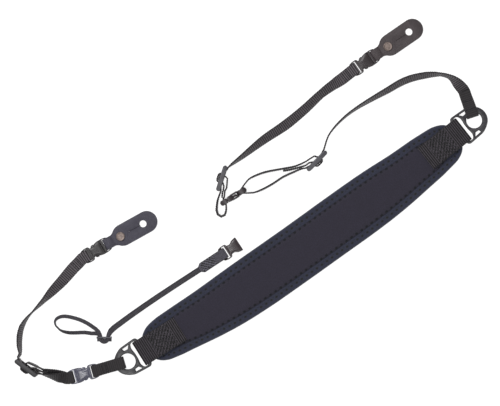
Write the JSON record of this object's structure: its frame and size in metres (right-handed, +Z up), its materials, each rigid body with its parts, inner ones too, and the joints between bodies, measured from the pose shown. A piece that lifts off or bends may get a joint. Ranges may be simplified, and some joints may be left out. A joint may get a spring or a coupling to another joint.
{
  "type": "camera neck strap",
  "caption": "Padded neck strap with moulded end rings, webbing straps with sliders and side-release buckles, leather end tabs and a loose looped connector.",
  "frame": {"origin": "middle of the footprint, on the surface that the strap lies on", "axes": "+Z up from the surface; +X along the footprint's longer side, towards the right end of the pad; +Y across it, towards the leather end tab on the right"},
  "size_m": [0.472, 0.3658, 0.0161],
  "materials": {
    "neoprene": "matte knit over foam rubber",
    "panel_cloth": "matte cloth",
    "tab_webbing": "coarse ribbed webbing",
    "webbing": "ribbed webbing",
    "cord_webbing": "narrow tape",
    "patch_cloth": "woven webbing",
    "ring_plastic": "satin moulded",
    "buckle_plastic": "satin moulded",
    "slider_plastic": "satin moulded",
    "leather": "fine grain",
    "rivet_metal": "satin"
  },
  "bodies": {
    "root": {"pad_base": "neoprene", "pad_panel": "panel_cloth", "pad_tab_right": "tab_webbing", "pad_tab_left": "tab_webbing", "ring_right": "ring_plastic", "ring_left": "ring_plastic", "ring_buckle_female": "buckle_plastic", "ring_buckle_male": "buckle_plastic", "left_buckle_female": "buckle_plastic", "left_buckle_male": "buckle_plastic", "right_buckle_female": "buckle_plastic", "right_buckle_male": "buckle_plastic", "middle_buckle_female": "buckle_plastic", "middle_buckle_male": "buckle_plastic", "slider_right": "slider_plastic", "slider_middle": "slider_plastic", "slider_left": "slider_plastic", "strap_right": "webbing", "strap_upper": "webbing", "strap_ring": "webbing", "strap_left": "webbing", "end_tab_right": "leather", "rivet_right": "rivet_metal", "end_tab_left": "leather", "rivet_left": "rivet_metal", "connector_patch": "patch_cloth", "connector_buckle": "buckle_plastic", "connector_cord": "cord_webbing", "connector_keeper": "slider_plastic"}
  },
  "joints": []
}
